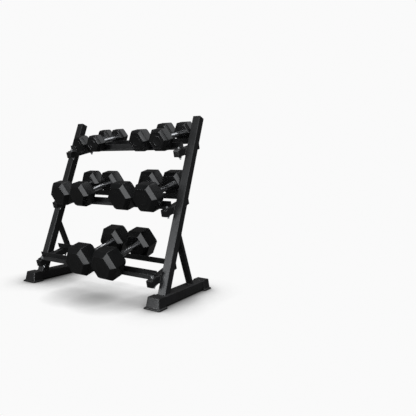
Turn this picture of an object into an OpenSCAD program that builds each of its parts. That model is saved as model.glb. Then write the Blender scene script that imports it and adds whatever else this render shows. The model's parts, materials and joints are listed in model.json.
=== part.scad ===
// Three-tier dumbbell rack with five pairs of hex dumbbells.
// Millimetres, +Z up. +X is the rack's right as seen by the user, who stands on the -Y side.
// The origin is on the floor under the middle of the whole loaded rack.

/* [Side frames] */
// Distance between the middles of the two side frames
frame_gap = 970; // [960:5:1100]
// Height of the uprights' front top edge
rack_h = 1040; // [1000:5:1100]
// Backward lean of the uprights, degrees
lean = 17; // [14:0.5:18]
// Width of an upright, side to side
post_w = 50; // [45:1:60]
// Depth of an upright, square to its length
post_d = 45; // [40:1:50]
// Where an upright's front face meets the base, behind the front end
post_y = 65; // [60:1:90]
// Wall of the upright tubes
post_wall = 2.5; // [2:0.5:3]

/* [Base] */
// Length of a base over its foot caps
base_len = 486; // [470:1:560]
// Width of a base tube
base_w = 70; // [60:1:80]
// Height of a base tube
base_h = 50; // [40:1:60]
// Wall of the base tubes
base_wall = 2.5; // [2:0.5:3]
// Thickness of a foot cap under the tube
sole = 8; // [5:1:10]
// Length of a foot cap along the base
foot_len = 56; // [45:1:58]
// Wall of a foot cap around the tube
foot_wall = 3; // [2:0.5:4]
// How far the foot lip stands out past the cap's top edge
foot_lip = 14; // [6:1:18]

/* [Rear struts] */
// Width of a strut, side to side
strut_w = 40; // [30:1:45]
// Depth of a strut, square to its length
strut_d = 20; // [15:1:30]
// Middle of a strut's foot, behind the front end
strut_y = 336; // [300:1:380]
// Forward lean of a strut, degrees
strut_lean = 24; // [20:0.5:28]

/* [Shelf arms] */
// Height of the bottom shelf, at the middle of its arms
bottom_z = 144; // [135:1:160]
// Height of the middle shelf
middle_z = 504; // [495:1:520]
// Height of the top shelf
top_z = 835; // [825:1:850]
// Upward tilt of the shelves towards the rear, degrees
tilt = 17; // [15:0.5:19]
// Side of the square arm tube
arm_w = 40; // [35:1:45]
// Wall of the arm tubes
arm_wall = 2.5; // [2:0.5:3]
// Reach of an arm ahead of the middle of its upright
arm_front = 97; // [90:1:110]
// Reach of an arm behind the middle of its upright
arm_rear = 125; // [122:1:140]

/* [Rails] */
// Leg of the angle section
rail_leg = 36; // [34:1:38]
// Thickness of the angle section
rail_t = 4; // [3:0.5:5]
// Inner radius of the angle's bend
bend_r = 3; // [1:0.5:4]
// Front rail's web, ahead of the middle of the upright
web_front = 48; // [46:1:50]
// Rear rail's web, behind the middle of the upright
web_rear = 82; // [80:1:84]

/* [Dumbbells] */
// Length of a handle between its two heads
grip_len = 148; // [146:1:152]
// Radius of a handle at its collars
collar_r = 16; // [14:0.5:17]
// Thickness of the rubber around an iron core
rubber_t = 4; // [3:0.5:8]
// Clearance between a seated head and the rear rail
seat_gap = 0.3; // [0.3:0.1:0.5]

/* [Hidden] */
$fn = 48;
SIDES = [["left", -1], ["right", 1]];
TIERS = [["bottom", bottom_z], ["middle", middle_z], ["top", top_z]];
BLACK_STEEL = "#1b1c1e";
BLACK_PLASTIC = "#151515";
BLACK_RUBBER = "#242424";
ZINC = "#c9cccf";
CHROME = "#d8dadc";
IRON = "#4a4a4c";

cut = 1;                             // how far a cutter stands out past what it cuts
corner_r = 4;                        // outer corner radius of the tubes
cap_t = 3;                           // end plate of an upright's cap
arm_cap_t = 4;                       // end plate of an arm's cap
plug_len = 12;                       // how far a cap's plug reaches into its tube
post_len = (rack_h - sole - base_h) / cos(lean) - cap_t;
strut_wall = 2;
base_top = sole + base_h;
inner_x = frame_gap / 2 - post_w / 2;
bolt_x = inner_x - arm_w / 2;
arm_top = arm_w / 2;
shelf_t = arm_top + rail_t;          // the face that the heads rest on
hole_front = -web_front - (rail_leg - rail_t) / 2;
hole_rear = web_rear + rail_t + (rail_leg - rail_t) / 2;

bolt_r = 5;                          // M10
hole_r = 5.5;
washer_r = 10;
washer_t = 2;
head_af = 16;
head_h = 6.5;
nut_af = 17;
nut_h = 8;
thread_gap = 0.05;
bolt_tip = 10;                       // thread left showing under a nut

// Each size: mass, head across flats, head length, chamfer length, chamfer depth
SIZES = [[10, 102, 72, 17, 10], [15, 123, 86, 19, 12], [20, 142, 95, 21, 17],
         [25, 152, 104, 22, 18], [30, 162, 118, 23, 21]];
// Each dumbbell: size index, letter, tier index, place across the rack, and the turn it lies at
PLACES = [[0, "a", 2, -289, 1], [0, "b", 2, -166, 2.5], [1, "a", 2, 213, -2.9], [1, "b", 2, 359.5, -2.5],
          [2, "a", 1, -306, -1.5], [2, "b", 1, -139, -2], [3, "a", 1, 190, -1.5], [3, "b", 1, 368.5, -1],
          [4, "a", 0, 9, 0], [4, "b", 0, 205, -1]];
grip_mid = web_rear + rail_t + seat_gap - grip_len / 2;
stub_r = 14;                         // the handle's ends, inside the heads
stub_len = 26;
collar_len = 12;
neck_drop = 2.5;                     // how far the grip's thin ends lie below the collars
grip_swell = 2.5;                    // how far the grip's middle rises above its ends

function size_of(d) = SIZES[d[0]];
function label(d) = str(size_of(d)[0], "kg_", d[1]);
// How far behind grip_mid a dumbbell lies, so that its head clears the rear rail though turned
function stand_off(d) = (size_of(d)[1] / 2 - size_of(d)[4]) / cos(30) * sin(abs(d[4]))
    + grip_len / 2 * (1 - cos(d[4]));
function post_mid_y(z) = post_y + (z - base_top) * tan(lean) + post_d / 2 / cos(lean);

// The whole is shifted along Y so that the origin lies under the middle of its box
big = SIZES[4];
big_s = grip_mid - grip_len / 2 - big[2];
function reach_y(s, t) = post_mid_y(bottom_z) + s * cos(tilt) - t * sin(tilt);
front_end = min(reach_y(big_s, shelf_t + big[1] - big[4]), reach_y(big_s + big[3], shelf_t + big[1]));
rear_end = base_len + foot_lip;
mid_y = (front_end + rear_end) / 2;

// ---- helpers ----

// Rectangle with rounded corners, centred
module rounded(w, h, r) {
    square([w - 2 * r, h], center = true);
    square([w, h - 2 * r], center = true);
    for (x = [-1, 1], y = [-1, 1])
        translate([x * (w / 2 - r), y * (h / 2 - r)]) circle(r);
}

// Rectangular tube along +Z, centred on the Z axis
module tube(w, d, wall, len) {
    linear_extrude(len) difference() {
        rounded(w, d, corner_r);
        bore(w, d, wall);
    }
}

// Inside outline of that tube
module bore(w, d, wall) {
    rounded(w - 2 * wall, d - 2 * wall, corner_r / 2);
}

// Plastic cap on a tube's end: a plate with its plug pointing to -Z
module tube_cap(w, d, wall, plate) {
    linear_extrude(plate) rounded(w, d, corner_r);
    translate([0, 0, -plug_len]) linear_extrude(plug_len) bore(w, d, wall);
}

// Origin at the middle of the upright at height z; +Y runs up the shelf to the rear,
// and +Z is square to the shelf
module on_shelf(z) {
    translate([0, post_mid_y(z) - mid_y, z]) rotate([tilt, 0, 0]) children();
}

// Origin at the front edge of an upright's foot; +Z runs up along the upright
module along_post(side) {
    translate([side * frame_gap / 2, post_y - mid_y, base_top]) rotate([-lean, 0, 0]) children();
}

// ---- side frames ----

module base_tube(side) {
    color(BLACK_STEEL)
    translate([side * frame_gap / 2, foot_wall - mid_y, sole + base_h / 2])
        rotate([-90, 0, 0]) tube(base_w, base_h, base_wall, base_len - 2 * foot_wall);
}

// One end cap of a base, with its outer end at y = 0 and a lip that flares out on the floor
module foot_cap() {
    flare = foot_lip / 2;
    lip_t = sole / 2;
    difference() {
        union() {
            hull() {
                foot_layer(0, base_top + foot_wall - lip_t, lip_t);
                foot_layer(flare, 0, lip_t);
            }
            hull() foot_layer(foot_lip, 0, lip_t);
        }
        translate([-base_w / 2, foot_wall, sole]) cube([base_w, foot_len, base_h]);
    }
}

// Posts at the corners of a foot cap's outline at height z, spread outwards by grow
module foot_layer(grow, z, thick) {
    r = foot_wall;
    out = base_w / 2 + foot_wall + grow - r;
    for (x = [-out, out], y = [r - grow, foot_len - r])
        translate([x, y, z]) cylinder(r = r, h = thick, $fn = 24);
}

module foot_caps_front() {
    color(BLACK_PLASTIC) for (s = SIDES)
        translate([s[1] * frame_gap / 2, -mid_y, 0]) foot_cap();
}

module foot_caps_rear() {
    color(BLACK_PLASTIC) for (s = SIDES)
        translate([s[1] * frame_gap / 2, base_len - mid_y, 0]) rotate([0, 0, 180]) foot_cap();
}

module upright(side) {
    color(BLACK_STEEL) difference() {
        along_post(side) translate([0, post_d / 2, -post_d])
            tube(post_w, post_d, post_wall, post_len + post_d);
        translate([side * frame_gap / 2 - post_w, -mid_y, base_top - 3 * post_d])
            cube([2 * post_w, base_len, 3 * post_d]);
    }
}

module upright_caps() {
    color(BLACK_PLASTIC) for (s = SIDES)
        along_post(s[1]) translate([0, post_d / 2, post_len]) tube_cap(post_w, post_d, post_wall, cap_t);
}

// Strut from the base up to the rear face of the upright, mitred at both ends
module rear_strut(side) {
    color(BLACK_STEEL) difference() {
        translate([side * frame_gap / 2, strut_y - mid_y, base_top]) rotate([strut_lean, 0, 0])
            translate([0, 0, -strut_w]) tube(strut_w, strut_d, strut_wall, rack_h / 2);
        translate([side * frame_gap / 2 - strut_w, -mid_y, base_top - 3 * strut_w])
            cube([2 * strut_w, base_len, 3 * strut_w]);
        along_post(side) translate([-strut_w, post_d - rack_h, -strut_w])
            cube([2 * strut_w, rack_h, rack_h]);
    }
}

// ---- shelves ----

// Arm welded to the inner face of an upright, drilled for the two rails' bolts
module arm(z, side) {
    color(BLACK_STEEL) on_shelf(z) difference() {
        translate([side * bolt_x, arm_cap_t - arm_front, 0])
            rotate([-90, 0, 0]) tube(arm_w, arm_w, arm_wall, arm_front + arm_rear - 2 * arm_cap_t);
        for (s = [hole_front, hole_rear])
            translate([side * bolt_x, s, -arm_w]) cylinder(r = hole_r, h = 2 * arm_w);
    }
}

module arm_caps_front() {
    color(BLACK_PLASTIC) for (k = TIERS, s = SIDES) on_shelf(k[1])
        translate([s[1] * bolt_x, arm_cap_t - arm_front, 0])
            rotate([90, 0, 0]) tube_cap(arm_w, arm_w, arm_wall, arm_cap_t);
}

module arm_caps_rear() {
    color(BLACK_PLASTIC) for (k = TIERS, s = SIDES) on_shelf(k[1])
        translate([s[1] * bolt_x, arm_rear - arm_cap_t, 0])
            rotate([-90, 0, 0]) tube_cap(arm_w, arm_w, arm_wall, arm_cap_t);
}

// Section of the bent angle, with its outer corner at the origin and its legs along +X and +Y
module angle_section() {
    outer_r = bend_r + rail_t;
    translate([outer_r, 0]) square([rail_leg - outer_r, rail_t]);
    translate([0, outer_r]) square([rail_t, rail_leg - outer_r]);
    intersection() {
        square(outer_r);
        translate([outer_r, outer_r]) difference() {
            circle(outer_r);
            circle(bend_r);
        }
    }
}

// Angle rail across the rack: a web beside the handles and a flange that the heads rest on
module rail(z, web, hole) {
    color(BLACK_STEEL) on_shelf(z) difference() {
        translate([-inner_x, web, arm_top]) rotate([90, 0, 90]) linear_extrude(2 * inner_x)
            mirror([hole < web ? 1 : 0, 0]) angle_section();
        for (side = [-1, 1])
            translate([side * bolt_x, hole, arm_top - cut]) cylinder(r = hole_r, h = rail_t + 2 * cut);
    }
}

// Runs its children at each of the twelve places where a rail is bolted to an arm
module at_bolts() {
    for (k = TIERS, side = [-1, 1], s = [hole_front, hole_rear])
        on_shelf(k[1]) translate([side * bolt_x, s, 0]) children();
}

module rail_bolts() {
    shank = arm_w + rail_t + 2 * washer_t + nut_h + bolt_tip;
    color(ZINC) at_bolts() {
        translate([0, 0, shelf_t + washer_t]) cylinder(r = head_af / 2 / cos(30), h = head_h, $fn = 6);
        translate([0, 0, shelf_t + washer_t - shank]) cylinder(r = bolt_r, h = shank);
    }
}

module rail_washers() {
    color(ZINC) at_bolts() for (t = [shelf_t, -arm_top - washer_t])
        translate([0, 0, t]) difference() {
            cylinder(r = washer_r, h = washer_t);
            translate([0, 0, -cut]) cylinder(r = hole_r, h = washer_t + 2 * cut);
        }
}

module rail_nuts() {
    color(ZINC) at_bolts() translate([0, 0, -arm_top - washer_t - nut_h]) difference() {
        cylinder(r = nut_af / 2 / cos(30), h = nut_h, $fn = 6);
        translate([0, 0, -cut]) cylinder(r = bolt_r + thread_gap, h = nut_h + 2 * cut);
    }
}

// ---- dumbbells ----

// Origin at the middle of a dumbbell's handle, with the handle along Y
module at_place(d) {
    on_shelf(TIERS[d[2]][1]) translate([d[3], grip_mid + stand_off(d), shelf_t + size_of(d)[1] / 2])
        rotate([0, 0, d[4]]) children();
}

// Hexagon across Y with flats above and below
module hex_bar(flats, len) {
    rotate([90, 0, 0]) cylinder(r = flats / 2 / cos(30), h = len, center = true, $fn = 6);
}

// Hex block with both ends chamfered; inset shrinks it all round
module hex_block(size, inset) {
    hull() {
        hex_bar(size[1] - 2 * inset, size[2] - 2 * size[3]);
        hex_bar(size[1] - 2 * size[4] - 2 * inset, size[2] - 2 * inset);
    }
}

// Runs its children at the middle of each head, with -Y pointing to the handle
module at_heads(d) {
    for (turn = [0, 180]) rotate([0, 0, turn])
        translate([0, (grip_len + size_of(d)[2]) / 2, 0]) children();
}

module stub_hole(d, r) {
    translate([0, -size_of(d)[2] / 2, 0]) rotate([90, 0, 0])
        cylinder(r = r, h = 2 * stub_len, center = true);
}

module heads(d) {
    color(BLACK_RUBBER) at_place(d) at_heads(d) difference() {
        hex_block(size_of(d), 0);
        hex_block(size_of(d), rubber_t);
        stub_hole(d, stub_r);
    }
}

module cores(d) {
    color(IRON) at_place(d) at_heads(d) difference() {
        hex_block(size_of(d), rubber_t);
        stub_hole(d, stub_r);
    }
}

// Handle: a stub pressed into each core, a plain collar at each head and a swelling grip
module handle(d) {
    half = grip_len / 2;
    steps = 12;
    grip = [for (i = [-steps:steps]) let (u = i / steps)
        [collar_r - neck_drop + grip_swell * (1 + cos(180 * u)) / 2, u * (half - collar_len)]];
    color(CHROME) at_place(d) rotate([-90, 0, 0]) rotate_extrude()
        polygon(concat([[0, -half - stub_len], [stub_r, -half - stub_len], [stub_r, -half],
                        [collar_r, -half], [collar_r, -half + collar_len]],
                       grip,
                       [[collar_r, half - collar_len], [collar_r, half], [stub_r, half],
                        [stub_r, half + stub_len], [0, half + stub_len]]));
}

// ---- nodes ----

for (s = SIDES) base_tube(s[1]);
foot_caps_front();
foot_caps_rear();
for (s = SIDES) upright(s[1]);
upright_caps();
for (s = SIDES) rear_strut(s[1]);
for (k = TIERS, s = SIDES)
    arm(k[1], s[1]);
arm_caps_front();
arm_caps_rear();
for (k = TIERS)
    rail(k[1], rail_t - web_front, hole_front);
for (k = TIERS)
    rail(k[1], web_rear, hole_rear);
rail_bolts();
rail_washers();
rail_nuts();
for (d = PLACES) heads(d);
for (d = PLACES) cores(d);
for (d = PLACES) handle(d);
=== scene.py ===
"""Finishes and detailed pieces of a three-tier dumbbell rack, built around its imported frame.

Everything is in metres: +X is the rack's right as its user sees it, +Y the rear and +Z up.
Pieces that lie at a slope are worked out in a local frame (x, s, t), which is the world turned
about X, and then turned back: s runs along the slope to the rear and t square to it.
"""

import json
import math

import bpy
import numpy as np
from bpy.props import FloatProperty, FloatVectorProperty, PointerProperty
from mathutils import Matrix, Vector


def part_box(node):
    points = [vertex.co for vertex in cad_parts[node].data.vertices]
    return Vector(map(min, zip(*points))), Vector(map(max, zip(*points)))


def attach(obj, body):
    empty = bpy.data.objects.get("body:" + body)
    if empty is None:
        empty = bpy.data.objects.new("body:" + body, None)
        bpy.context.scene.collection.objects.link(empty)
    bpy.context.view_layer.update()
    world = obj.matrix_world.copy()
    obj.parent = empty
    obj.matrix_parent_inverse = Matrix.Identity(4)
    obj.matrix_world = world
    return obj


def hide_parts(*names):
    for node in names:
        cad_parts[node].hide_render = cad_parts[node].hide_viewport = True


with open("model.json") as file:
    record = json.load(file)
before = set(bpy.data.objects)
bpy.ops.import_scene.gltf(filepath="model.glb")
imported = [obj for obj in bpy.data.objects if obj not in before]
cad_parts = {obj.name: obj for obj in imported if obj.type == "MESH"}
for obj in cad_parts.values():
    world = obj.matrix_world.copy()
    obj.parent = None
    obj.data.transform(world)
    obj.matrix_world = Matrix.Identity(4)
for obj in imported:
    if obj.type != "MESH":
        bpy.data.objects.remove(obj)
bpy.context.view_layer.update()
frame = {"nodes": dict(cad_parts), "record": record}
FINISHES = {m["slot"]: m for m in frame["record"]["materials"]}
BODY_OF = {n: b for b, ns in frame["record"]["behaviour"]["bodies"].items() for n in ns}
DUMBBELLS = [n.removeprefix("heads_") for n in sorted(frame["nodes"]) if n.startswith("heads_")]
TIERS = ("bottom", "middle", "top")
SIDES = ("left", "right")
MM = 0.001

# Softboxes, in degrees: bearing, lowest and highest angle above the horizon, and half width
FRONT_RIGHT = (39, -4, 43, 18)
FRONT_LEFT = (-17, -3, 17, 10)
REAR = (150, 40, 75, 18)
SUN_WIDTH = 60
SUN_PLACE = (0.2, -0.5, 3.0)
SOFTBOX_REACH = 3.6
SOFTBOX_TINT = (0.96, 0.98, 1.0)
RACK_MIDDLE = (0, 0, 0.5)
CAMERA_PLACE = (1.7103, -1.7429, 0.6662)

# Floor: how far things reach with its painted contact shadow, how steeply it darkens, where it fades out,
# and its radius
SHADE_REACH = 0.22
SHADE_POWER = 2.7
FADE_FROM = 1.3
FADE_TO = 3.2
FLOOR_RADIUS = 3.5
BLACK = (0.0, 0.0, 0.0)

# Share of a grain's tone over which roughness follows it
TONE_LOW = 0.3
TONE_HIGH = 0.7

# End face of a head: how far each point is sunk, in steps, and its share of the face's half height
FACE_STEP = 0.0006
FACE_POINTS = (
    (0.0, 0.86),
    (1.0, 0.82),
    (1.0, 0.60),
    (0.3, 0.57),
    (0.3, 0.50),
    (1.0, 0.47),
    (1.8, 0.10),
    (1.8, 0.05),
)

bl_info = {
    "name": "Dumbbell Rack",
    "version": (1, 0, 0),
    "blender": (4, 5, 0),
    "location": "3D View > Sidebar > Rack",
    "description": "Builds the detailed pieces and finishes of a dumbbell rack around its frame",
    "category": "Add Mesh",
}


# ---- sizes and colours ----


def length_of(name, text, millimetres):
    """A length property, given in millimetres and held in metres."""
    size = millimetres * MM
    return FloatProperty(name=name, description=text, default=size, min=0, unit="LENGTH", precision=5)


def colour_of(name, text, rgb):
    """A colour property with its default as linear red, green and blue."""
    return FloatVectorProperty(
        name=name, description=text, default=rgb, size=3, subtype="COLOR", min=0, max=1
    )


def level_of(name, text, value):
    """A brightness property."""
    return FloatProperty(name=name, description=text, default=value, min=0)


class RackShapes(bpy.types.PropertyGroup):
    """Sizes of the details that the frame leaves plain."""

    corner: length_of("Head corner", "Radius of the six long corners of a rubber head", 3)
    fillet: length_of("Head edge", "Length over which the edges of a rubber head are rounded", 2.2)
    knurl_pitch: length_of("Knurl pitch", "Distance between two grooves of the knurling", 3.4)
    knurl_depth: length_of("Knurl depth", "Depth of the knurling's grooves", 0.8)
    knurl_length: length_of("Knurl length", "Length of the knurled part of a handle", 92)
    bead: length_of("Weld bead", "Radius of a weld bead", 3.2)
    ripple: length_of("Weld ripple", "Distance between two ripples of a weld bead", 3.0)
    thread_pitch: length_of("Thread pitch", "Pitch of the rail bolts' thread", 1.5)


class RackColours(bpy.types.PropertyGroup):
    """Colours of the finishes, as linear values."""

    steel: colour_of("Coated steel", "Powder coat on the frame", (0.0150, 0.0155, 0.0172))
    plastic: colour_of("Plastic", "Caps on the feet and tube ends", (0.0130, 0.0134, 0.0142))
    rubber: colour_of("Rubber", "Coating of the dumbbells' heads", (0.0085, 0.0090, 0.0097))
    chrome: colour_of("Chrome", "Handles", (0.72, 0.73, 0.75))
    zinc: colour_of("Zinc", "Bolts, washers and nuts", (0.58, 0.59, 0.60))
    iron: colour_of("Iron", "Cores inside the rubber heads", (0.05, 0.05, 0.052))
    dust: colour_of("Dust", "Dust that settles on upward faces", (0.20, 0.19, 0.18))


class RackStage(bpy.types.PropertyGroup):
    """Floor and light."""

    floor: colour_of("Floor", "Floor as it is seen", (0.955, 0.955, 0.955))
    mirrored: colour_of("Mirrored floor", "Floor as the rack's own finishes reflect it", (0.14, 0.14, 0.14))
    backdrop: level_of("Backdrop", "Brightness of the backdrop", 0.955)
    sun: level_of("Overhead light", "Even light from above", 2.2)
    right: level_of("Right softbox", "Brightness of the front right softbox", 3.1)
    left: level_of("Left softbox", "Brightness of the front left softbox", 16.0)
    rear: level_of("Rear softbox", "Brightness of the rear softbox", 1.2)
    sky: level_of("Sky", "Strength of the light from all round", 0.07)


# ---- frames and measures ----


def vertices(node):
    """All the vertices of a CAD node, as an (n, 3) array."""
    mesh = frame["nodes"][node].data
    points = np.empty(len(mesh.vertices) * 3, np.float32)
    mesh.vertices.foreach_get("co", points)
    return points.reshape(-1, 3).astype(float)


def slope_of(node):
    """Angle about X at which a node lies, from -45 to 45 degrees.

    Of the faces that run straight across the rack, the direction that most of the area shares is
    taken, and whole quarter turns are left out of it.
    """
    mesh = frame["nodes"][node].data
    normals = np.empty(len(mesh.polygons) * 3, np.float32)
    areas = np.empty(len(mesh.polygons), np.float32)
    mesh.polygons.foreach_get("normal", normals)
    mesh.polygons.foreach_get("area", areas)
    normals = normals.reshape(-1, 3)
    across = np.abs(normals[:, 0]) < 0.01
    turn = np.degrees(np.arctan2(normals[across, 2], normals[across, 1]))
    turn = np.round((turn + 45) % 90 - 45, 1)
    values, where = np.unique(turn, return_inverse=True)
    return math.radians(values[np.bincount(where, weights=areas[across]).argmax()])


def turned(points, angle):
    """Points turned about the X axis by angle."""
    c, s = math.cos(angle), math.sin(angle)
    x, y, z = points[..., 0], points[..., 1], points[..., 2]
    return np.stack([x, y * c - z * s, y * s + z * c], axis=-1)


def swung(points, angle):
    """Points turned about the Z axis by angle."""
    c, s = math.cos(angle), math.sin(angle)
    x, y, z = points[..., 0], points[..., 1], points[..., 2]
    return np.stack([x * c - y * s, x * s + y * c, z], axis=-1)


def local_box(node, slope):
    """Lowest and highest corner of a node in the frame that lies at that slope."""
    points = turned(vertices(node), -slope)
    return points.min(0), points.max(0)


def groups(values, gap):
    """Boolean masks of the runs of values that lie further than gap apart."""
    order = np.sort(values)
    cuts = order[1:][np.diff(order) > gap] - gap / 2
    which = np.searchsorted(cuts, values)
    return [which == k for k in range(len(cuts) + 1)]


# ---- surfaces ----


def outline(sides, per_corner, per_side, first):
    """Unit outline with rounded corners, as two (n, 2) arrays of corner and outward direction.

    Each corner has a fan of directions across its turn, and each side has points spread evenly
    between its two corners. A regular polygon of apothem p with corners of radius r is then
    (p - r) times the first array plus r times the second.
    """
    turn = 2 * math.pi / sides
    reach = 1 / math.cos(turn / 2)
    corners, ways = [], []
    for k in range(sides):
        middle = first + k * turn
        fan = middle + np.linspace(-turn / 2, turn / 2, per_corner)
        here = reach * np.array([math.cos(middle), math.sin(middle)])
        there = reach * np.array([math.cos(middle + turn), math.sin(middle + turn)])
        part = np.linspace(0, 1, per_side + 2)[1:-1, None]
        side_way = np.array([math.cos(middle + turn / 2), math.sin(middle + turn / 2)])
        corners += [np.repeat(here[None], per_corner, 0), here + (there - here) * part]
        ways += [np.stack([np.cos(fan), np.sin(fan)], 1), np.repeat(side_way[None], per_side, 0)]
    return np.concatenate(corners), np.concatenate(ways)


HEXAGON = outline(6, 7, 7, 0.0)
SQUARE = outline(4, 7, 2, math.pi / 4)


def at_height(ring, height):
    """A flat outline raised to a height."""
    return np.column_stack([ring, np.full(len(ring), height)])


def hex_ring(apothem, radius):
    """Hexagon with flats above and below: its half height across flats, and its corners' radius."""
    radius = min(radius, apothem)
    return (apothem - radius) * HEXAGON[0] + radius * HEXAGON[1]


def box_ring(half_w, half_d, radius):
    """Rectangle with rounded corners, from its half sizes."""
    radius = min(radius, half_w, half_d)
    return np.array([half_w - radius, half_d - radius]) * np.sign(SQUARE[0]) * (
        np.abs(SQUARE[0]) / np.abs(SQUARE[0]).max()
    ) + radius * SQUARE[1]


def softened(corners, reach, steps=5):
    """Open profile through corners, with each inner corner replaced by a parabola.

    The parabola leaves and meets the straight parts at most reach from the corner.
    """
    corners = np.asarray(corners, float)
    run = [corners[:1]]
    t = np.linspace(0, 1, steps)[:, None]
    for before, here, after in zip(corners, corners[1:], corners[2:]):
        cut_in = min(reach, 0.45 * np.linalg.norm(here - before))
        cut_out = min(reach, 0.45 * np.linalg.norm(after - here))
        start = here + (before - here) * cut_in / np.linalg.norm(here - before)
        end = here + (after - here) * cut_out / np.linalg.norm(after - here)
        run.append((1 - t) ** 2 * start + 2 * t * (1 - t) * here + t**2 * end)
    run.append(corners[-1:])
    return np.concatenate(run)


def shell(rings, ends="closed"):
    """Surface through (m, n, 3) rings of points: quads between them, and a fan to a pole at each end.

    With ends="joined" the last ring leads back to the first, as on a bead that goes all round.
    The faces are turned so that the volume inside comes out positive.
    """
    m, n, _ = rings.shape
    points = rings.reshape(-1, 3)
    rows = m if ends == "joined" else m - 1
    i, j = np.meshgrid(np.arange(rows), np.arange(n), indexing="ij")
    below, above = i * n, (i + 1) % m * n
    right = (j + 1) % n
    quads = np.stack([below + j, below + right, above + right, above + j], -1).reshape(-1, 4)
    faces = [quads]
    if ends == "closed":
        points = np.concatenate([points, rings[:1].mean(1), rings[-1:].mean(1)])
        k = np.arange(n)
        turn = (k + 1) % n
        faces.append(np.stack([turn, k, np.full(n, m * n)], -1))
        faces.append(np.stack([(m - 1) * n + k, (m - 1) * n + turn, np.full(n, m * n + 1)], -1))
    fans = [f[:, [0, a, a + 1]] for f in faces for a in range(1, f.shape[1] - 1)]
    a, b, c = (points[np.concatenate(fans)[:, k]] for k in range(3))
    if np.einsum("ij,ij->i", a, np.cross(b, c)).sum() < 0:
        faces = [f[:, ::-1] for f in faces]
    return points, faces


def placed(piece, change):
    """A shell with change applied to its points."""
    return change(piece[0]), piece[1]


def add_piece(name, shells, body, slot, replaces=(), smooth=35):
    """Makes one object from shells, shades it smooth below that angle, and ties it to the frame."""
    offsets = np.cumsum([0] + [len(points) for points, _ in shells])
    points = np.concatenate([points for points, _ in shells])
    faces = [f + offset for (_, group), offset in zip(shells, offsets) for f in group]
    sizes = np.concatenate([np.full(len(f), f.shape[1]) for f in faces])
    corners = np.concatenate([f.ravel() for f in faces]).astype(np.int32)
    mesh = bpy.data.meshes.new(name)
    mesh.vertices.add(len(points))
    mesh.vertices.foreach_set("co", points.astype(np.float32).ravel())
    mesh.loops.add(len(corners))
    mesh.loops.foreach_set("vertex_index", corners)
    mesh.polygons.add(len(sizes))
    mesh.polygons.foreach_set("loop_start", (np.cumsum(sizes) - sizes).astype(np.int32))
    mesh.update(calc_edges=True)
    if mesh.validate():
        raise RuntimeError(f"{name} has faces that don't make a surface")
    mesh.shade_smooth()
    mesh.set_sharp_from_angle(angle=math.radians(smooth))
    piece = bpy.data.objects.new(name, mesh)
    bpy.context.scene.collection.objects.link(piece)
    mesh.materials.append(finish_of(slot))
    if replaces:
        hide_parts(*replaces)
    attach(piece, body)
    return piece


# ---- shader node groups ----


def node(tree, kind, inputs=None, **settings):
    """Adds a node. Each input is a value, or the socket that feeds it."""
    made = tree.nodes.new(kind)
    for key, value in settings.items():
        setattr(made, key, value)
    for key, value in (inputs or {}).items():
        if isinstance(value, bpy.types.NodeSocket):
            tree.links.new(value, made.inputs[key])
        else:
            made.inputs[key].default_value = value
    return made


def maths(tree, operation, a, b=0.0):
    """Output of a Math node."""
    return node(tree, "ShaderNodeMath", {0: a, 1: b}, operation=operation).outputs[0]


def remap(tree, value, low, high, to_low, to_high):
    """Output of a clamped Map Range node."""
    return node(
        tree,
        "ShaderNodeMapRange",
        {"Value": value, "From Min": low, "From Max": high, "To Min": to_low, "To Max": to_high},
    ).outputs[0]


def blended(tree, factor, a, b):
    """Colour that goes from a to b with factor."""
    mix = node(tree, "ShaderNodeMix", {0: factor}, data_type="RGBA")
    for key, value in ((6, a), (7, b)):
        if isinstance(value, bpy.types.NodeSocket):
            tree.links.new(value, mix.inputs[key])
        else:
            mix.inputs[key].default_value = (*value, 1.0)
    return mix.outputs[2]


def new_group(name, inputs, outputs):
    """An empty shader node group and its input and output nodes. Inputs are (name, type, default)."""
    tree = bpy.data.node_groups.new(name, "ShaderNodeTree")
    for label, kind, default in inputs:
        socket = tree.interface.new_socket(label, in_out="INPUT", socket_type=kind)
        if default is not None:
            socket.default_value = default
    for label in outputs:
        tree.interface.new_socket(label, in_out="OUTPUT", socket_type="NodeSocketFloat")
    return tree, tree.nodes.new("NodeGroupInput").outputs, tree.nodes.new("NodeGroupOutput").inputs


def group_called(name, build):
    """The group of that name, built the first time that it is asked for."""
    return bpy.data.node_groups.get(name) or build(name)


def build_grain(name):
    """Fine grain of a coated or moulded surface: its height, and a slow change of tone."""
    tree, given, out = new_group(
        name,
        [
            ("Vector", "NodeSocketVector", None),
            ("Size", "NodeSocketFloat", 0.001),
            ("Roundness", "NodeSocketFloat", 0.5),
        ],
        ["Height", "Tone"],
    )
    scale = maths(tree, "DIVIDE", 1.0, given["Size"])
    fine = node(tree, "ShaderNodeTexNoise", {"Vector": given["Vector"], "Scale": scale, "Detail": 3.0})
    dimples = node(
        tree, "ShaderNodeTexVoronoi", {"Vector": given["Vector"], "Scale": scale}, feature="SMOOTH_F1"
    )
    slow = node(
        tree,
        "ShaderNodeTexNoise",
        {"Vector": given["Vector"], "Scale": maths(tree, "MULTIPLY", scale, 0.02), "Detail": 4.0},
    )
    rounded = maths(tree, "MULTIPLY", dimples.outputs["Distance"], given["Roundness"])
    tree.links.new(maths(tree, "ADD", fine.outputs[0], rounded), out["Height"])
    tree.links.new(slow.outputs[0], out["Tone"])
    return tree


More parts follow.
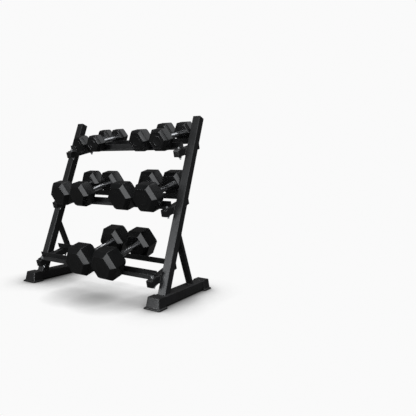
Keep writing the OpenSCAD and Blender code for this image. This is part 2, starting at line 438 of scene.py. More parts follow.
def build_scuffs(name):
    """Thin rubbed lines that run mostly one way, gathered in patches: 1 on a scuff."""
    tree, given, out = new_group(
        name,
        [
            ("Vector", "NodeSocketVector", None),
            ("Length", "NodeSocketFloat", 0.05),
            ("Width", "NodeSocketFloat", 0.001),
            ("Amount", "NodeSocketFloat", 0.3),
        ],
        ["Mask"],
    )
    along = maths(tree, "DIVIDE", 1.0, given["Length"])
    across = maths(tree, "DIVIDE", 1.0, given["Width"])
    lines = None
    for turn in (0.35, 1.25):
        size = node(tree, "ShaderNodeCombineXYZ", {0: along, 1: across, 2: across})
        moved = node(
            tree,
            "ShaderNodeMapping",
            {"Vector": given["Vector"], "Rotation": (0.4, turn, turn), "Scale": size.outputs[0]},
        )
        streak = node(tree, "ShaderNodeTexNoise", {"Vector": moved.outputs[0], "Scale": 1.0, "Detail": 1.0})
        thin = remap(tree, streak.outputs[0], 0.66, 0.74, 0.0, 1.0)
        lines = thin if lines is None else maths(tree, "MAXIMUM", lines, thin)
    patch = node(
        tree,
        "ShaderNodeTexNoise",
        {"Vector": given["Vector"], "Scale": maths(tree, "MULTIPLY", along, 0.5), "Detail": 2.0},
    )
    where = maths(tree, "MULTIPLY", remap(tree, patch.outputs[0], 0.42, 0.62, 0.0, 1.0), given["Amount"])
    tree.links.new(maths(tree, "MULTIPLY", lines, where), out["Mask"])
    return tree


def build_dust(name):
    """Dust that settles where a face looks up, in soft patches: 1 where it is thickest."""
    tree, given, out = new_group(
        name, [("Vector", "NodeSocketVector", None), ("Amount", "NodeSocketFloat", 0.3)], ["Mask"]
    )
    facing = node(tree, "ShaderNodeNewGeometry")
    up = node(tree, "ShaderNodeSeparateXYZ", {0: facing.outputs["True Normal"]}).outputs[2]
    patch = node(tree, "ShaderNodeTexNoise", {"Vector": given["Vector"], "Scale": 35.0, "Detail": 6.0})
    soft = remap(tree, patch.outputs[0], 0.3, 0.75, 0.3, 1.0)
    level = maths(tree, "MULTIPLY", remap(tree, up, 0.55, 1.0, 0.0, 1.0), soft)
    tree.links.new(maths(tree, "MULTIPLY", level, given["Amount"]), out["Mask"])
    return tree


# ---- finishes ----


def new_finish(name):
    """A material with its Principled shader, and the Object coordinates that its patterns read."""
    material = bpy.data.materials.new(name)
    material.use_nodes = True
    tree = material.node_tree
    shader = tree.nodes["Principled BSDF"]
    where = node(tree, "ShaderNodeTexCoord").outputs["Object"]
    return material, tree, shader, where


def use(tree, name, build, **inputs):
    """Outputs of a shared group, placed with its own values."""
    made = node(tree, "ShaderNodeGroup", node_tree=group_called(name, build))
    for key, value in inputs.items():
        if isinstance(value, bpy.types.NodeSocket):
            tree.links.new(value, made.inputs[key])
        else:
            made.inputs[key].default_value = value
    return made.outputs


def set_bump(tree, shader, height, distance):
    """Feeds a height through a Bump node to the shader's normal."""
    bump = node(tree, "ShaderNodeBump", {"Height": height, "Distance": distance, "Strength": 1.0})
    tree.links.new(bump.outputs[0], shader.inputs["Normal"])


def scaled(colour, factor):
    """A colour made darker or lighter."""
    return tuple(c * factor for c in colour)


def toned(tree, grain, low, high):
    """Roughness that follows a grain's slow change of tone from low to high."""
    return remap(tree, grain["Tone"], TONE_LOW, TONE_HIGH, low, high)


def shaded(tree, grain, colour, darkest, lightest):
    """Base colour that follows a grain's slow change of tone between two strengths of a colour."""
    return blended(tree, grain["Tone"], scaled(colour, darkest), scaled(colour, lightest))


def add_share(tree, value, mask, share):
    """A value raised by a share of a mask."""
    return maths(tree, "ADD", value, maths(tree, "MULTIPLY", mask, share))


def coated_steel(name):
    """Satin black powder coat: orange peel, slow changes of tone, fine scuffs and a little dust."""
    colours = bpy.context.scene.rack_colours
    material, tree, shader, where = new_finish(name)
    grain = use(tree, "surface_grain", build_grain, Vector=where, Size=0.0016, Roundness=0.6)
    scuffs = use(tree, "scuffs", build_scuffs, Vector=where, Length=0.06, Width=0.0007, Amount=0.35)["Mask"]
    dust = use(tree, "settled_dust", build_dust, Vector=where, Amount=0.07)["Mask"]
    dark, light = scaled(colours.steel, 0.8), scaled(colours.steel, 1.25)
    base = blended(tree, remap(tree, grain["Tone"], 0.35, 0.65, 0.0, 1.0), dark, light)
    worn = blended(tree, scuffs, base, (0.09, 0.09, 0.095))
    tree.links.new(blended(tree, dust, worn, tuple(colours.dust)), shader.inputs["Base Color"])
    rough = add_share(tree, toned(tree, grain, 0.41, 0.49), dust, 0.9)
    tree.links.new(add_share(tree, rough, scuffs, 0.15), shader.inputs["Roughness"])
    shader.inputs["Specular IOR Level"].default_value = 0.55
    set_bump(tree, shader, grain["Height"], 0.00004)
    return material


def moulded_plastic(name):
    """Black injection-moulded plastic with a fine spark-eroded grain, scuffs and dust."""
    colours = bpy.context.scene.rack_colours
    material, tree, shader, where = new_finish(name)
    grain = use(tree, "surface_grain", build_grain, Vector=where, Size=0.0009, Roundness=0.9)
    scuffs = use(tree, "scuffs", build_scuffs, Vector=where, Length=0.03, Width=0.0008, Amount=0.7)["Mask"]
    dust = use(tree, "settled_dust", build_dust, Vector=where, Amount=0.08)["Mask"]
    base = shaded(tree, grain, colours.plastic, 0.85, 1.3)
    worn = blended(tree, scuffs, base, (0.07, 0.07, 0.072))
    tree.links.new(blended(tree, dust, worn, tuple(colours.dust)), shader.inputs["Base Color"])
    rough = add_share(tree, toned(tree, grain, 0.32, 0.44), dust, 0.8)
    tree.links.new(rough, shader.inputs["Roughness"])
    set_bump(tree, shader, grain["Height"], 0.00005)
    return material


def head_rubber(name):
    """Moulded black rubber: soft grain, chalky scuff marks, dust on top, corners worn smoother, and a
    painted edge highlight that lightens the colour of corners and bends.
    """
    colours = bpy.context.scene.rack_colours
    material, tree, shader, where = new_finish(name)
    grain = use(tree, "surface_grain", build_grain, Vector=where, Size=0.0012, Roundness=0.4)
    scuffs = use(tree, "scuffs", build_scuffs, Vector=where, Length=0.025, Width=0.0012, Amount=0.3)["Mask"]
    dust = use(tree, "settled_dust", build_dust, Vector=where, Amount=0.03)["Mask"]
    edge_wear_and_highlight = node(tree, "ShaderNodeAttribute", attribute_name="edge_wear_and_highlight").outputs["Fac"]
    base = shaded(tree, grain, colours.rubber, 0.8, 1.3)
    # painted edge highlight: corners and bends get a lighter rubber colour, standing in for light caught on
    # the rounded edges
    with_painted_highlight = blended(tree, maths(tree, "MULTIPLY", edge_wear_and_highlight, 0.5), base, scaled(colours.rubber, 2.2))
    chalked = blended(tree, scuffs, with_painted_highlight, (0.055, 0.055, 0.056))
    tree.links.new(blended(tree, dust, chalked, tuple(colours.dust)), shader.inputs["Base Color"])
    rough = toned(tree, grain, 0.24, 0.30)
    # edge wear: the same corners and bends are made smoother
    rough = maths(tree, "SUBTRACT", rough, maths(tree, "MULTIPLY", edge_wear_and_highlight, 0.08))
    rough = add_share(tree, rough, dust, 0.9)
    tree.links.new(rough, shader.inputs["Roughness"])
    set_bump(tree, shader, grain["Height"], 0.000025)
    return material


def bright_metal(name, colour, low, high, grain_size, depth):
    """Plated metal: nearly mirror bright, with faint clouding, fine lines and dirt held in its grain."""
    material, tree, shader, where = new_finish(name)
    grain = use(tree, "surface_grain", build_grain, Vector=where, Size=grain_size, Roundness=0.3)
    scuffs = use(tree, "scuffs", build_scuffs, Vector=where, Length=0.015, Width=0.0004, Amount=0.8)["Mask"]
    base = shaded(tree, grain, colour, 0.82, 1.0)
    tree.links.new(blended(tree, scuffs, base, scaled(colour, 0.6)), shader.inputs["Base Color"])
    rough = add_share(tree, toned(tree, grain, low, high), scuffs, 0.2)
    tree.links.new(rough, shader.inputs["Roughness"])
    shader.inputs["Metallic"].default_value = 1.0
    set_bump(tree, shader, grain["Height"], depth)
    return material


def handle_chrome(name):
    """Polished chrome plate."""
    return bright_metal(name, tuple(bpy.context.scene.rack_colours.chrome), 0.14, 0.24, 0.0012, 0.00002)


def bolt_zinc(name):
    """Bright zinc plate, a little clouded."""
    return bright_metal(name, tuple(bpy.context.scene.rack_colours.zinc), 0.22, 0.38, 0.0006, 0.00004)


def cast_core(name):
    """Rough grey iron casting."""
    colours = bpy.context.scene.rack_colours
    material, tree, shader, where = new_finish(name)
    grain = use(tree, "surface_grain", build_grain, Vector=where, Size=0.003, Roundness=0.8)
    base = shaded(tree, grain, colours.iron, 0.7, 1.4)
    tree.links.new(base, shader.inputs["Base Color"])
    tree.links.new(toned(tree, grain, 0.6, 0.8), shader.inputs["Roughness"])
    set_bump(tree, shader, grain["Height"], 0.0004)
    return material


MAKERS = {
    "black_powder_coat": coated_steel,
    "black_plastic": moulded_plastic,
    "black_rubber": head_rubber,
    "bright_chrome": handle_chrome,
    "zinc_plate": bolt_zinc,
    "grey_iron": cast_core,
}


def finish_of(slot):
    """The material for one of the record's slots, made the first time that it is asked for."""
    if slot not in FINISHES:
        raise RuntimeError(f"the record has no material slot named {slot}")
    name = f"{slot}_finish"
    return bpy.data.materials.get(name) or MAKERS[slot](name)


# ---- tubes, rails and cores ----


def paint_frame():
    """Gives each CAD node that stays on show the finish that the record names for it."""
    for part in frame["record"]["subparts"]:
        mesh = frame["nodes"][part["node"]].data
        mesh.materials.clear()
        mesh.materials.append(finish_of(part["material_slot"]))


# ---- weld beads ----


def bead_shell(corners, radius, ripple):
    """Bead round a flat closed path: a circle carried along it, swelling once for each ripple.

    The path's corners are rounded, and the circle stands square to the path, between the path's
    own plane and its inward direction.
    """
    corners = np.asarray(corners, float)
    loop = softened(np.concatenate([corners, corners[:2]]), 1.5 * radius)[1:-1]
    loop = np.concatenate([loop, loop[:1]])
    steps = np.linalg.norm(np.diff(loop, axis=0), axis=1)
    along = np.concatenate([[0], np.cumsum(steps)])
    ripples = max(3, round(along[-1] / ripple))
    u = np.linspace(0, along[-1], ripples * 4, endpoint=False)
    path = np.stack([np.interp(u, along, loop[:, k]) for k in range(3)], 1)
    ahead = np.roll(path, -1, 0) - np.roll(path, 1, 0)
    ahead /= np.linalg.norm(ahead, axis=1)[:, None]
    up = np.cross(corners[1] - corners[0], corners[2] - corners[1])
    up /= np.linalg.norm(up)
    inward = np.cross(up, ahead)
    turn = np.linspace(0, 2 * math.pi, 10, endpoint=False)
    phase = 2 * math.pi * u / along[-1]
    swell = 1 + 0.10 * np.cos(phase * ripples) + 0.07 * np.sin(5 * phase) + 0.05 * np.cos(11 * phase + 1)
    size = radius * swell
    arc = size[:, None, None] * (
        np.cos(turn)[None, :, None] * inward[:, None] + np.sin(turn)[None, :, None] * up[None, None]
    )
    return shell(path[:, None] + arc, ends="joined")


def meeting(slope_a, s_a, slope_b, t_b):
    """Point (y, z) where the line at s_a across one slope meets the line at t_b along another."""
    rows = [[math.cos(slope_a), math.sin(slope_a)], [-math.sin(slope_b), math.cos(slope_b)]]
    return np.linalg.solve(rows, [s_a, t_b])


def across_loop(low_x, high_x, first, second):
    """Corners of a rectangle that spans low_x to high_x between two (y, z) points."""
    return [[low_x, *first], [high_x, *first], [high_x, *second], [low_x, *second]]


def side_welds(side):
    """All the beads of one side frame."""
    shapes = bpy.context.scene.rack_shapes
    post, strut, base = f"upright_{side}", f"rear_strut_{side}", f"base_tube_{side}"
    lean = slope_of(post)
    post_lo, post_hi = local_box(post, lean)
    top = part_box(base)[1].z
    loops = [
        across_loop(
            post_lo[0], post_hi[0], meeting(lean, post_lo[1], 0, top), meeting(lean, post_hi[1], 0, top)
        )
    ]
    prop = slope_of(strut)
    strut_lo, strut_hi = local_box(strut, prop)
    # Like an upright, a strut has its length along t, so s goes from its front face to its rear
    ends = [meeting(prop, s, 0, top) for s in (strut_lo[1], strut_hi[1])]
    loops.append(across_loop(strut_lo[0], strut_hi[0], *ends))
    rows = [[math.cos(lean), math.sin(lean)], [math.cos(prop), math.sin(prop)]]
    ends = [np.linalg.solve(rows, [post_hi[1], s]) for s in (strut_lo[1], strut_hi[1])]
    loops.append(across_loop(strut_lo[0], strut_hi[0], *ends))
    inner = post_hi[0] if side == "left" else post_lo[0]
    for tier in TIERS:
        tilt = slope_of(f"arm_{tier}_{side}")
        arm_lo, arm_hi = local_box(f"arm_{tier}_{side}", tilt)
        front, rear, below, above = post_lo[1], post_hi[1], arm_lo[2], arm_hi[2]
        pairs = [(front, below), (rear, below), (rear, above), (front, above)]
        loops.append([[inner, *meeting(lean, s, tilt, t)] for s, t in pairs])
    beads = [bead_shell(loop, shapes.bead, shapes.ripple) for loop in loops]
    return add_piece(f"weld_beads_{side}", beads, "rack", "black_powder_coat", smooth=60)


# ---- plastic caps ----


def foot_caps(end):
    """The two foot caps at one end of the bases, as rounded rectangles stacked from the floor up.

    A cap spreads by 'grow' on its outer end and both sides, and not where the tube comes out.
    """
    name = f"foot_caps_{end}"
    low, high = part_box(name)
    way = -1 if end == "front" else 1
    shells = []
    for side in SIDES:
        tube_lo, tube_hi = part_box(f"base_tube_{side}")
        middle = (tube_lo.x + tube_hi.x) / 2
        wall = high.z - tube_hi.z
        cap_x, tube_x = (high.x, tube_hi.x) if side == "right" else (-low.x, -tube_lo.x)
        lip = cap_x - tube_x - wall
        half_w = (tube_hi.x - tube_lo.x) / 2 + wall
        outer = (low.y + lip) if end == "front" else (high.y - lip)
        inner = high.y if end == "front" else low.y
        # height above the floor, and how far the outline stands out there
        stations = softened(
            [
                (0.0, -0.5 * lip),
                (0.0, lip - 0.0003),
                (0.45 * lip, lip - 0.0003),
                (0.75 * lip, 0.42 * lip),
                (high.z - 0.1 * wall, 0.0),
                (high.z, -0.7 * wall),
                (high.z, -2.6 * wall),
            ],
            0.0022,
        )
        rings = []
        for z, grow in stations:
            inset = min(grow, 0.0)
            near = outer + way * grow
            far = inner - way * inset
            ring = box_ring(half_w + grow, abs(far - near) / 2, 0.0045 + 0.5 * inset)
            rings.append(
                np.column_stack([middle + ring[:, 0], (near + far) / 2 + ring[:, 1], np.full(len(ring), z)])
            )
        shells.append(shell(np.array(rings)))
    return add_piece(f"moulded_{name}", shells, "rack", "black_plastic", [name])


def end_cap(half_w, half_d, thick, radius):
    """End cap of a tube as a stack of rounded rectangles: a plate with a softened rim and a crowned top.

    It stands on z = 0 with its plug below, and its middle rises to the full thickness.
    """
    rim = 0.72 * thick
    stations = softened(
        [
            (-3 * thick, 0.004),
            (-0.001, 0.0035),
            (0.0, 0.0),
            (rim - 0.0008, 0.0),
            (rim, 0.0016),
            (0.92 * thick, 0.006),
            (thick, 0.012),
        ],
        0.0009,
    )
    rings = []
    for z, inset in stations:
        ring = box_ring(half_w - inset, half_d - inset, max(radius - inset, 0.0015))
        rings.append(at_height(ring, z))
    return shell(np.array(rings))


def upright_caps():
    """Caps on the two uprights' tops."""
    shells = []
    for side in SIDES:
        lean = slope_of(f"upright_{side}")
        low, high = local_box(f"upright_{side}", lean)
        thick = local_box("upright_caps", lean)[1][2] - high[2]
        half = (high - low) / 2
        middle = np.array([(low[0] + high[0]) / 2, (low[1] + high[1]) / 2, high[2]])
        cap = end_cap(half[0], half[1], thick, 0.004)
        shells.append(placed(cap, lambda p, m=middle, a=lean: turned(p + m, a)))
    return add_piece("crowned_upright_caps", shells, "rack", "black_plastic", ["upright_caps"])


def arm_caps(end):
    """Caps on the six arms' front or rear ends."""
    name = f"arm_caps_{end}"
    way = -1 if end == "front" else 1
    shells = []
    for tier in TIERS:
        for side in SIDES:
            arm = f"arm_{tier}_{side}"
            tilt = slope_of(arm)
            low, high = local_box(arm, tilt)
            points = turned(vertices(name), -tilt)
            middle = (low + high) / 2
            near = np.abs(points - middle).max(1) < 0.6 * (high[1] - low[1])
            caps_s = points[near][:, 1]
            face = low[1] if end == "front" else high[1]
            thick = abs((caps_s.min() if end == "front" else caps_s.max()) - face)
            cap = end_cap((high[0] - low[0]) / 2, (high[2] - low[2]) / 2, thick, 0.004)

            def seat(p, m=middle, f=face, a=tilt):
                return turned(np.stack([m[0] + p[:, 0], f + way * p[:, 2], m[2] + p[:, 1]], -1), a)

            points_out, faces = cap
            placed_points = seat(points_out)
            if way > 0:
                faces = [f[:, ::-1] for f in faces]
            shells.append((placed_points, faces))
    return add_piece(f"crowned_{name}", shells, "rack", "black_plastic", [name])


# ---- bolts, washers and nuts ----


def bolt_places():
    """Middle x, s and slope of each rail bolt, with its lowest and highest t."""
    slope = slope_of("arm_top_left")
    points = turned(vertices("rail_bolts"), -slope)
    places = []
    for sign in (-1, 1):
        mine = points[points[:, 0] * sign > 0]
        for mask in groups(mine[:, 1], 0.008):
            low, high = mine[mask].min(0), mine[mask].max(0)
            places.append(((low[0] + high[0]) / 2, (low[1] + high[1]) / 2, low[2], high[2]))
    return slope, places


def hex_piece(half_af, low, high, chamfer, both):
    """Hexagonal block along t whose corners are turned off to a cone at its top, or at both ends."""
    stations = [(low, half_af - 0.4 * chamfer, 0.0003), (low + 0.2 * chamfer, half_af, 0.0003)]
    if both:
        stations = [
            (low, half_af, half_af),
            (low + chamfer, half_af * 1.06, 0.0006),
            (low + chamfer * 1.1, half_af, 0.0004),
        ]
    stations.append((high - chamfer, half_af, 0.0004))
    rings = []
    for t, apothem, radius in stations:
        rings.append(at_height(hex_ring(min(apothem, half_af), radius), t))
    top = hex_ring(half_af, 0.0004)
    reach = np.linalg.norm(top, axis=1)
    for t, limit in ((high - 0.5 * chamfer, half_af * 1.06), (high, half_af * 0.96), (high, half_af * 0.9)):
        rings.append(at_height(top * np.minimum(1, limit / reach)[:, None], t))
    return shell(np.array(rings))


def washer_shell(radius, low, high):
    """Flat washer as a turned profile with soft edges."""
    thick = high - low
    hole = radius * 0.3
    stations = softened([(low, hole), (low, radius), (high, radius), (high, hole)], 0.3 * thick)
    turn = np.linspace(0, 2 * math.pi, 32, endpoint=False)
    rings = [np.stack([r * np.cos(turn), r * np.sin(turn), np.full(32, t)], -1) for t, r in stations]
    return shell(np.array(rings))


def thread_shell(radius, pitch, low, high):
    """Threaded rod from low to high: the radius falls in a groove that winds up once for each pitch."""
    turns = 20
    t = np.linspace(low, high, round((high - low) / pitch * 5) + 1)
    turn = np.linspace(0, 2 * math.pi, turns, endpoint=False)
    phase = t[:, None] / pitch - turn[None] / (2 * math.pi)
    groove = np.abs(2 * (phase - np.floor(phase)) - 1)
    taper = np.clip((t - low) / pitch, 0, 1)[:, None]
    size = radius * (0.86 + 0.14 * taper) - 0.3 * pitch * groove * taper
    rings = np.stack([size * np.cos(turn), size * np.sin(turn), np.repeat(t[:, None], turns, 1)], -1)
    return shell(rings)


def fasteners():
    """Bolts, washers and nuts that hold the rails on the arms, with true threads and chamfers."""
    shapes = bpy.context.scene.rack_shapes
    slope, places = bolt_places()
    washers = turned(vertices("rail_washers"), -slope)
    nuts = turned(vertices("rail_nuts"), -slope)
    bolts = turned(vertices("rail_bolts"), -slope)
    made = {"bolts": [], "washers": [], "nuts": []}
    for x, s, tip, top in places:
        def near(points):
            return points[(np.abs(points[:, 0] - x) < 0.03) & (np.abs(points[:, 1] - s) < 0.012)]

        def put(piece):
            return placed(piece, lambda p: turned(p + np.array([x, s, 0]), slope))

        levels = groups(near(washers)[:, 2], 0.005)
        discs = [near(washers)[mask] for mask in levels]
        under, over = discs[0], discs[-1]
        nut = near(nuts)
        washer_r = (over[:, 0].max() - over[:, 0].min()) / 2
        bolt = near(bolts)
        shank_r = np.abs(bolt[bolt[:, 2] < tip + 0.001][:, 0] - x).max()
        head = bolt[bolt[:, 2] > top - 0.0005]
        half_af = np.abs(head[:, 1] - s).max()
        nut_af = np.abs(nut[:, 1] - s).max()
        made["bolts"].append(put(hex_piece(half_af, over[:, 2].max(), top, 0.0012, False)))
        made["bolts"].append(put(thread_shell(shank_r, shapes.thread_pitch, tip, over[:, 2].max() - 0.0005)))
        made["washers"] += [put(washer_shell(washer_r, d[:, 2].min(), d[:, 2].max())) for d in (under, over)]
        made["nuts"].append(put(hex_piece(nut_af, nut[:, 2].min(), nut[:, 2].max(), 0.001, True)))
    for kind, shells in made.items():
        add_piece(f"machined_{kind}", shells, "rack", "zinc_plate", [f"rail_{kind}"], smooth=30)


# ---- dumbbells ----


def middle_of(points):
    """Middle of the box round some points."""
    return (points.min(0) + points.max(0)) / 2


class Seat:
    """Where one dumbbell lies: its slope, its turn about the shelf's normal, and its middle."""

    def __init__(self, label):
        name = f"heads_{label}"
        self.slope = slope_of(name)
        sloped = turned(vertices(name), -self.slope)
        self.centre = middle_of(sloped)
        behind = sloped[:, 1] > self.centre[1]
        line = middle_of(sloped[behind]) - middle_of(sloped[~behind])
        self.swing = math.atan2(-line[0], line[1])

    def own(self, node_name):
        """Vertices of one of the dumbbell's CAD nodes, with the handle's line along Y."""
        return swung(turned(vertices(node_name), -self.slope) - self.centre, -self.swing)

    def put(self, piece):
        """A shell made along Y, moved to where the dumbbell lies."""
        return placed(piece, lambda points: turned(swung(points, self.swing) + self.centre, self.slope))


def head_measures(points):
    """Sizes of a dumbbell's heads, from their CAD vertices in the dumbbell's own frame."""
    level = 0.0005
    flats, far = points[:, 2].max(), points[:, 1].max()
    near = np.abs(points[:, 1]).min()
    end_flats = points[points[:, 1] > far - level][:, 2].max()
    wide = points[points[:, 2] > flats - level]
    bore = np.hypot(*points[np.abs(points[:, 1]) < near + level][:, [0, 2]].T).min()
    return {
        "flats": flats,
        "near": near,
        "far": far,
        "chamfer": np.abs(wide[:, 1]).min() - near,
        "deep": flats - end_flats,
        "bore": bore,
    }


def turning(profile):
    """How sharply a profile turns at each of its points: 0 where it is straight, 1 at its sharpest."""
    steps = np.diff(profile, axis=0)
    ways = np.unwrap(np.arctan2(steps[:, 1], steps[:, 0]))
    bends = np.abs(np.diff(ways))
    return np.concatenate([[0], bends / bends.max(), [0]])


def head_shell(size, way):
    """One rubber head, and for each of its points how much edge wear and painted edge highlight it gets.

    Hexagons are carried along the handle's line, with rounded corners and edges. The profile goes
    from the handle's collar out over the inner chamfer, the flat sides and the outer chamfer, and
    back in over the end face, which has a sunk field, a raised ring and a shallow dish. Towards
    the middle the hexagon's corner radius grows to its apothem, so that the ring and the dish are
    round. A point gets edge wear and the painted edge highlight where the profile turns or where it is on
    one of the long corners.
    """
    shapes = bpy.context.scene.rack_shapes
    p, deep, run = size["flats"], size["deep"], size["chamfer"]
    near, far = size["near"], size["far"]
    edge = p - deep
    mouth = (near, size["bore"] + 0.001)
    sides = [(near, edge), (near + run, p), (far - run, p), (far, edge), (far, 0.84 * edge)]
    body = softened([mouth, *sides], shapes.fillet, 7)
    face = softened([(far - sunk * FACE_STEP, part * edge) for sunk, part in FACE_POINTS], 0.0018, 4)
    stations = np.concatenate([body[:-1], face])
    on_corner = np.tile(np.concatenate([1 - np.abs(np.linspace(-1, 1, 7)), np.zeros(7)]), 6)
    bends = turning(stations)
    rings, edge_wear_and_highlight = [], []
    for (a, apothem), bend in zip(stations, bends):
        roundness = np.clip((0.80 * edge - apothem) / (0.18 * edge), 0, 1)
        radius = shapes.corner + (apothem - shapes.corner) * roundness
        ring = hex_ring(apothem, radius if apothem > mouth[1] or a > near else apothem)
        rings.append(np.stack([ring[:, 0], np.full(len(ring), a * way), ring[:, 1]], -1))
        # level of edge wear and of the painted edge highlight at each point of this ring
        edge_wear_and_highlight.append(np.maximum(on_corner * (apothem > edge), bend))
    return shell(np.array(rings)), np.concatenate([*edge_wear_and_highlight, np.zeros(2)])


def heads(label):
    """The two rubber heads of one dumbbell."""
    name = f"heads_{label}"
    seat = Seat(label)
    size = head_measures(seat.own(name))
    pieces, edge_wear_and_highlight_levels = zip(*(head_shell(size, way) for way in (-1, 1)))
    shells = [seat.put(piece) for piece in pieces]
    made = add_piece(f"moulded_{name}", shells, BODY_OF[name], "black_rubber", [name], smooth=28)
    # per-point level that smooths the roughness as edge wear and lightens the colour as a painted edge
    # highlight
    made.data.attributes.new("edge_wear_and_highlight", "FLOAT", "POINT").data.foreach_set("value", np.concatenate(edge_wear_and_highlight_levels))
    return made


def handle(label):
    """One handle, turned about its line, with a diamond knurl over its middle.

    The radius is a plain collar at each head and a neck that swells to the middle. Two sets of
    grooves wind round it in opposite ways, and the deeper of the two is cut at each point.
    """
    shapes = bpy.context.scene.rack_shapes
    name = f"handle_{label}"
    seat = Seat(label)
    points = seat.own(name)
    from_line = np.hypot(points[:, 0], points[:, 2])
    half = head_measures(seat.own(f"heads_{label}"))["near"]
    outer = from_line[np.abs(np.abs(points[:, 1]) - half) < 0.001].max()
    collar = half - np.abs(points[from_line > outer - 0.0001][:, 1]).min()
    middle_r = from_line[np.abs(points[:, 1]) < 0.003].max()
    neck_r = from_line[np.abs(points[:, 1]) < half - collar + 0.0001].min()

    pitch = shapes.knurl_pitch
    starts = round(2 * math.pi * middle_r / pitch)
    around = np.linspace(0, 2 * math.pi, starts * 4, endpoint=False)
    turns = round(shapes.knurl_length / pitch)
    knurled = (np.arange(turns * 4 + 1) / 4 - turns / 2) * pitch
    end = knurled[-1]
    shoulder = half - collar
    plain = softened(
        [
            (end + 0.0004, 0),
            (shoulder - 0.0004, 0),
            (shoulder, outer - 0.0012),
            (shoulder + 0.0012, outer),
            (half - 0.0005, outer),
            (half + 0.002, outer),
            (half + 0.006, outer - 0.002),
        ],
        0.0006,
    )
    swell = neck_r + (middle_r - neck_r) * (1 + np.cos(math.pi * plain[:, 0] / shoulder)) / 2
    plain_r = np.where(plain[:, 0] < shoulder - 0.0008, swell, np.maximum(plain[:, 1], neck_r))
    plain_a = plain[:, 0]
    grip_r = neck_r + (middle_r - neck_r) * (1 + np.cos(math.pi * knurled / shoulder)) / 2

    a = around[None] * starts / (2 * math.pi)
    b = knurled[:, None] / pitch
    fold = np.maximum(*(np.abs(2 * ((a + sign * b) % 1) - 1) for sign in (-1, 1)))
    fade = np.clip((end - np.abs(knurled)) / pitch, 0, 1)[:, None]
    knurl_r = grip_r[:, None] - shapes.knurl_depth * fold**1.5 * fade
    ones = np.ones(len(around))
    radii = np.concatenate([plain_r[::-1, None] * ones, knurl_r, plain_r[:, None] * ones])
    places = np.concatenate([-plain_a[::-1], knurled, plain_a])
    rings = np.stack([radii * np.cos(around), places[:, None] * ones, radii * np.sin(around)], -1)
    piece = seat.put(shell(rings))
    return add_piece(f"knurled_{name}", [piece], BODY_OF[name], "bright_chrome", [name], smooth=50)


# ---- stage ----


def floor_finish(seen, mirrored):
    """Plain pale floor: evenly bright, with a painted contact shadow close under things, and fading into the
    backdrop.

    Rays from the camera see it shine by itself, with a painted shadow dimming it where things stand close
    over it. To all other rays it is a matt floor, darker than it looks, so that it doesn't wash out the
    finishes.
    """
    material, tree, shader, where = new_finish("pale_floor")
    shader.inputs["Roughness"].default_value = 0.9
    shader.inputs["Specular IOR Level"].default_value = 0.0
    looked_at = node(tree, "ShaderNodeLightPath").outputs["Is Camera Ray"]
    tree.links.new(blended(tree, looked_at, mirrored, BLACK), shader.inputs["Base Color"])
    # painted contact shadow: ambient occlusion dims the floor's own glow where things stand close over it
    cover = node(tree, "ShaderNodeAmbientOcclusion", {"Distance": SHADE_REACH}, samples=16).outputs["AO"]
    close = maths(tree, "POWER", cover, SHADE_POWER)
    tree.links.new(blended(tree, close, BLACK, seen), shader.inputs["Emission Color"])
    tree.links.new(looked_at, shader.inputs["Emission Strength"])
    distance = node(tree, "ShaderNodeVectorMath", {0: where}, operation="LENGTH").outputs["Value"]
    tree.links.new(remap(tree, distance, FADE_FROM, FADE_TO, 1.0, 0.0), shader.inputs["Alpha"])
    return material


def add_floor(seen, mirrored):
    """A round floor at z = 0."""
    turn = np.linspace(0, 2 * math.pi, 64, endpoint=False)
    points = [(FLOOR_RADIUS * math.cos(a), FLOOR_RADIUS * math.sin(a), 0.0) for a in turn]
    mesh = bpy.data.meshes.new("floor")
    mesh.from_pydata(points, [], [list(range(len(points)))])
    mesh.materials.append(floor_finish(seen, mirrored))
    floor = bpy.data.objects.new("floor", mesh)
    bpy.context.scene.collection.objects.link(floor)


def add_light(name, data, place, target):
    """Places a light that looks from place at target and isn't seen itself."""
    light = bpy.data.objects.new(name, data)
    bpy.context.scene.collection.objects.link(light)
    light.location = place
    light.rotation_euler = (Vector(target) - Vector(place)).to_track_quat("-Z", "Y").to_euler()
    light.visible_camera = False
    return light


def add_sun(strength):
    """Wide overhead light."""
    data = bpy.data.lights.new("overhead", "SUN")
    data.energy = strength
    data.angle = math.radians(SUN_WIDTH)
    add_light("overhead", data, SUN_PLACE, (0, 0, 0))


def add_softbox(name, bearing, low, high, spread, brightness):
    """Flat light for highlights, between two heights above the horizon as seen from the rack.

    bearing is its direction in degrees to the right of straight ahead, and spread its half width.
    """
    middle = Vector(RACK_MIDDLE)
    rise = math.radians((low + high) / 2)
    turn = math.radians(bearing)
    way = Vector((math.sin(turn) * math.cos(rise), -math.cos(turn) * math.cos(rise), math.sin(rise)))
    data = bpy.data.lights.new(name, "AREA")
    data.shape = "RECTANGLE"
    data.size = 2 * SOFTBOX_REACH * math.tan(math.radians(spread))
    data.size_y = 2 * SOFTBOX_REACH * math.tan(math.radians(high - low) / 2)
    data.energy = brightness * math.pi * data.size * data.size_y
    data.color = SOFTBOX_TINT
    add_light(name, data, middle + SOFTBOX_REACH * way, middle).visible_diffuse = False


def add_sky(strength, shown):
    """World that lights evenly from all round, and shows as a plain pale backdrop."""
    world = bpy.data.worlds.new("studio")
    bpy.context.scene.world = world
    world.use_nodes = True
    tree = world.node_tree
    seen = node(tree, "ShaderNodeLightPath").outputs["Is Camera Ray"]
    level = node(tree, "ShaderNodeMapRange", {"Value": seen, "To Min": strength, "To Max": shown}).outputs[0]
    background = tree.nodes["Background"]
    background.inputs["Color"].default_value = (1, 1, 1, 1)
    tree.links.new(level, background.inputs["Strength"])


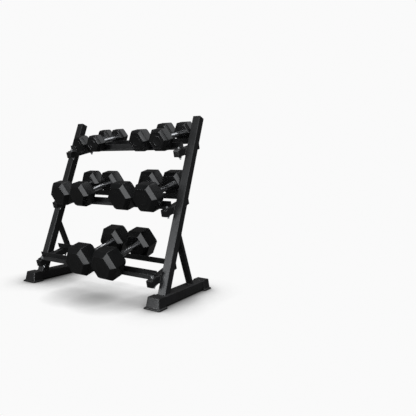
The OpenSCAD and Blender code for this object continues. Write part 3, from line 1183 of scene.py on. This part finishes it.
def add_camera():
    """Camera at standing distance in front of the rack's right corner, a little above its middle."""
    yaw, pitch, roll = 0.499, 0.017, 0.025
    forward = Vector((-math.sin(yaw) * math.cos(pitch), math.cos(yaw) * math.cos(pitch), -math.sin(pitch)))
    level = forward.cross(Vector((0, 0, 1))).normalized()
    upright = level.cross(forward)
    right = level * math.cos(roll) + upright * math.sin(roll)
    up = upright * math.cos(roll) - level * math.sin(roll)
    data = bpy.data.cameras.new("camera")
    data.lens = 33.38
    data.shift_x = -0.0346
    data.shift_y = -0.0512
    camera = bpy.data.objects.new("camera", data)
    bpy.context.scene.collection.objects.link(camera)
    turn = Matrix((right, up, -forward)).transposed().to_4x4()
    camera.matrix_world = Matrix.Translation(CAMERA_PLACE) @ turn
    bpy.context.scene.camera = camera


# ---- operators ----


class RACK_OT_frame(bpy.types.Operator):
    """Coat the tubes, rails and struts of the frame, and finish the cores"""

    bl_idname = "rack.frame"
    bl_label = "Finish the frame"

    def execute(self, context):
        paint_frame()
        return {"FINISHED"}


class RACK_OT_welds(bpy.types.Operator):
    """Add the weld beads of both side frames"""

    bl_idname = "rack.welds"
    bl_label = "Weld beads"

    def execute(self, context):
        for side in SIDES:
            side_welds(side)
        return {"FINISHED"}


class RACK_OT_caps(bpy.types.Operator):
    """Add the moulded caps of the feet, uprights and arms"""

    bl_idname = "rack.caps"
    bl_label = "Plastic caps"

    def execute(self, context):
        upright_caps()
        for end in ("front", "rear"):
            foot_caps(end)
            arm_caps(end)
        return {"FINISHED"}


class RACK_OT_fasteners(bpy.types.Operator):
    """Add the bolts, washers and nuts that hold the rails"""

    bl_idname = "rack.fasteners"
    bl_label = "Bolts and nuts"

    def execute(self, context):
        fasteners()
        return {"FINISHED"}


class RACK_OT_heads(bpy.types.Operator):
    """Add the rubber heads of all the dumbbells"""

    bl_idname = "rack.heads"
    bl_label = "Dumbbell heads"

    def execute(self, context):
        for label in DUMBBELLS:
            heads(label)
        return {"FINISHED"}


class RACK_OT_handles(bpy.types.Operator):
    """Add the knurled handles of all the dumbbells"""

    bl_idname = "rack.handles"
    bl_label = "Dumbbell handles"

    def execute(self, context):
        for label in DUMBBELLS:
            handle(label)
        return {"FINISHED"}


class RACK_OT_stage(bpy.types.Operator):
    """Add the floor, the light and the camera"""

    bl_idname = "rack.stage"
    bl_label = "Stage"

    def execute(self, context):
        stage = context.scene.rack_stage
        add_camera()
        add_floor(tuple(stage.floor), tuple(stage.mirrored))
        add_sky(stage.sky, stage.backdrop)
        add_sun(stage.sun)
        add_softbox("front_right", *FRONT_RIGHT, stage.right)
        add_softbox("front_left", *FRONT_LEFT, stage.left)
        add_softbox("rear", *REAR, stage.rear)
        context.scene.view_settings.view_transform = "Standard"
        return {"FINISHED"}


class RACK_PT_panel(bpy.types.Panel):
    """Lists the steps that build the rack"""

    bl_idname = "RACK_PT_panel"
    bl_label = "Dumbbell Rack"
    bl_space_type = "VIEW_3D"
    bl_region_type = "UI"
    bl_category = "Rack"

    def draw(self, context):
        for step in STEPS:
            self.layout.operator(step.bl_idname)
        for group in (context.scene.rack_shapes, context.scene.rack_colours, context.scene.rack_stage):
            for key in group.__annotations__:
                self.layout.prop(group, key)


STEPS = (
    RACK_OT_stage,
    RACK_OT_frame,
    RACK_OT_welds,
    RACK_OT_caps,
    RACK_OT_fasteners,
    RACK_OT_heads,
    RACK_OT_handles,
)
GROUPS = {"rack_shapes": RackShapes, "rack_colours": RackColours, "rack_stage": RackStage}


def register():
    for made in (*GROUPS.values(), *STEPS, RACK_PT_panel):
        bpy.utils.register_class(made)
    for key, group in GROUPS.items():
        setattr(bpy.types.Scene, key, PointerProperty(type=group))


def unregister():
    for key in GROUPS:
        delattr(bpy.types.Scene, key)
    for made in reversed((*GROUPS.values(), *STEPS, RACK_PT_panel)):
        bpy.utils.unregister_class(made)


def main():
    register()
    bpy.ops.rack.stage()
    bpy.ops.rack.frame()
    bpy.ops.rack.welds()
    bpy.ops.rack.caps()
    bpy.ops.rack.fasteners()
    bpy.ops.rack.heads()
    bpy.ops.rack.handles()


if __name__ == "__main__":
    main()
